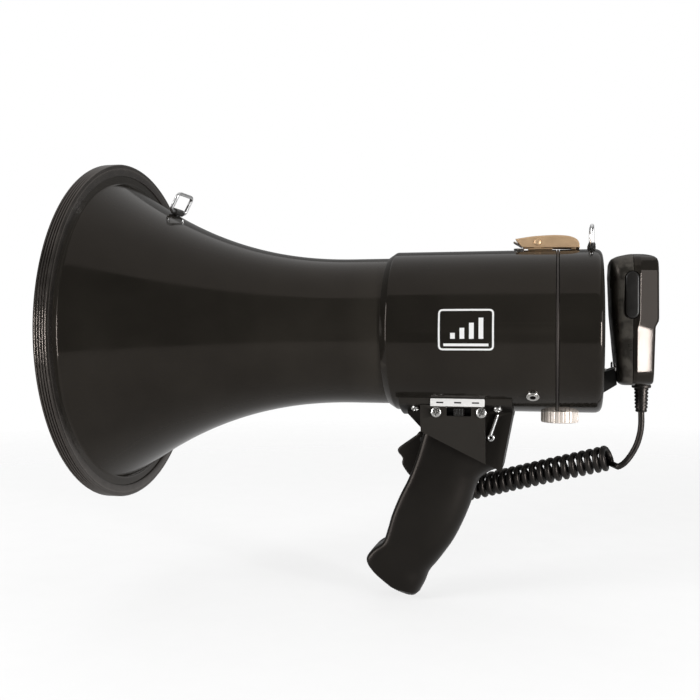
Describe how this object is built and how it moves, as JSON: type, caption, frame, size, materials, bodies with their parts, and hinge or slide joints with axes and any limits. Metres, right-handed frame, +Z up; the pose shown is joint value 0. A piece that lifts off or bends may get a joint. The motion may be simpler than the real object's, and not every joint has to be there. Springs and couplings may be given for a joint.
{
  "type": "handheld megaphone",
  "caption": "Handheld megaphone with a folded horn, battery body, pistol grip with trigger, and a fist microphone on a curly cord.",
  "frame": {"origin": "centre of the palm on the pistol grip", "axes": "+X runs back along the horn from the bell to the microphone, +Y points across to the far side, +Z up"},
  "size_m": [0.3594, 0.23, 0.2885],
  "materials": {
    "horn_plastic": "glossy moulded plastic, near black",
    "body_plastic": "glossy moulded plastic, near black",
    "grip_plastic": "satin to glossy moulded plastic, near black",
    "trim_plastic": "satin dark plastic",
    "rim_rubber": "ribbed black rubber",
    "seal_rubber": "black rubber",
    "cord_jacket": "black flexible jacket",
    "latch_brass": "dull brass plate",
    "chrome_wire": "bright chrome",
    "steel_fasteners": "bright zinc plated steel",
    "nickel": "nickel plated",
    "knob_metal": "satin champagne coloured ribbed metal",
    "label": "white printed plate",
    "board": "green solder mask",
    "parts": "plain aluminium",
    "magnet": "dark ferrite",
    "copper": "enamelled copper wire",
    "film": "amber polyimide film",
    "cells": "printed metal jacket",
    "switch_plastic": "dark switch housing"
  },
  "bodies": {
    "root": {"bell": "horn_plastic", "bell_rim_gasket": "rim_rubber", "throat_tube": "trim_plastic", "reflector_cup": "horn_plastic", "reflector_spider": "trim_plastic", "driver_basket": "trim_plastic", "driver_diaphragm": "film", "voice_coil": "copper", "driver_top_plate": "steel_fasteners", "driver_magnet": "magnet", "driver_back_plate": "steel_fasteners", "horn_screws": "steel_fasteners", "body_shell": "body_plastic", "amplifier_board": "board", "amplifier_parts": "parts", "battery_carrier": "trim_plastic", "battery_cells": "cells", "battery_contacts": "nickel", "rear_cap": "body_plastic", "cap_seal": "seal_rubber", "volume_pot": "parts", "aux_jack": "nickel", "aux_jack_nut": "nickel", "latch_base": "latch_brass", "latch_pin": "latch_brass", "latch_spring": "chrome_wire", "latch_keeper": "latch_brass", "front_ring_bracket": "trim_plastic", "rear_ring_bracket": "trim_plastic", "saddle": "grip_plastic", "saddle_screws": "steel_fasteners", "switch_label_plate": "label", "label_screws": "steel_fasteners", "slide_switch": "switch_plastic", "strap_link": "chrome_wire", "grip_near_shell": "grip_plastic", "grip_far_shell": "grip_plastic", "grip_screws": "steel_fasteners", "trigger_pin": "steel_fasteners", "trigger_spring": "steel_fasteners", "trigger_switch": "switch_plastic", "mic_hanger": "trim_plastic", "cord_gland": "cord_jacket", "cord_lead": "cord_jacket", "cord_coil": "cord_jacket", "cord_tail": "cord_jacket"},
    "trigger_lever": {"trigger": "grip_plastic"},
    "volume_dial": {"volume_knob": "knob_metal"},
    "selector": {"slide_knob": "switch_plastic"},
    "latch": {"latch_lever": "latch_brass"},
    "front_ring": {"front_strap_ring": "chrome_wire"},
    "rear_ring": {"rear_strap_ring": "chrome_wire"},
    "microphone": {"mic_rear_shell": "body_plastic", "mic_front_shell": "body_plastic", "mic_screws": "steel_fasteners", "mic_capsule": "parts", "mic_talk_switch": "switch_plastic", "mic_stud": "steel_fasteners", "mic_strain_relief": "cord_jacket"},
    "talk_button": {"mic_talk_button": "switch_plastic"}
  },
  "joints": [
    {"name": "trigger_squeeze", "type": "hinge", "parent": "root", "child": "trigger_lever", "pos_m": [-0.0052, 0, 0.05], "axis": [0, -1, 0], "range_deg": [0, 7], "stiffness_Nm_per_rad": 0.8, "springref_deg": -5.73, "deforming": ["trigger_spring"]},
    {"name": "volume_turn", "type": "hinge", "parent": "root", "child": "volume_dial", "pos_m": [0.0815, 0, 0.066], "axis": [0, 0, -1], "range_deg": [-140, 140]},
    {"name": "selector_slide", "type": "slide", "parent": "root", "child": "selector", "axis": [1, 0, 0], "range_m": [-0.004, 0.004]},
    {"name": "latch_press", "type": "hinge", "parent": "root", "child": "latch", "pos_m": [0.0674, 0, 0.1759], "axis": [0, -1, 0], "range_deg": [0, 8], "stiffness_Nm_per_rad": 0.15, "springref_deg": -5.73, "deforming": ["latch_spring"]},
    {"name": "front_ring_swing", "type": "hinge", "parent": "root", "child": "front_ring", "pos_m": [-0.17747, 0, 0.20233], "axis": [0, 1, 0], "range_deg": [-75, 75]},
    {"name": "rear_ring_swing", "type": "hinge", "parent": "root", "child": "rear_ring", "pos_m": [0.1005, 0, 0.1735], "axis": [0, 1, 0], "range_deg": [-30, 45]},
    {"name": "microphone_lift", "type": "slide", "parent": "root", "child": "microphone", "axis": [0, 0, 1], "range_m": [0, 0.022]},
    {"name": "talk_press", "type": "slide", "parent": "microphone", "child": "talk_button", "axis": [0, 1, 0], "range_m": [0, 0.0015], "stiffness_N_per_m": 800, "springref_m": -0.001}
  ]
}
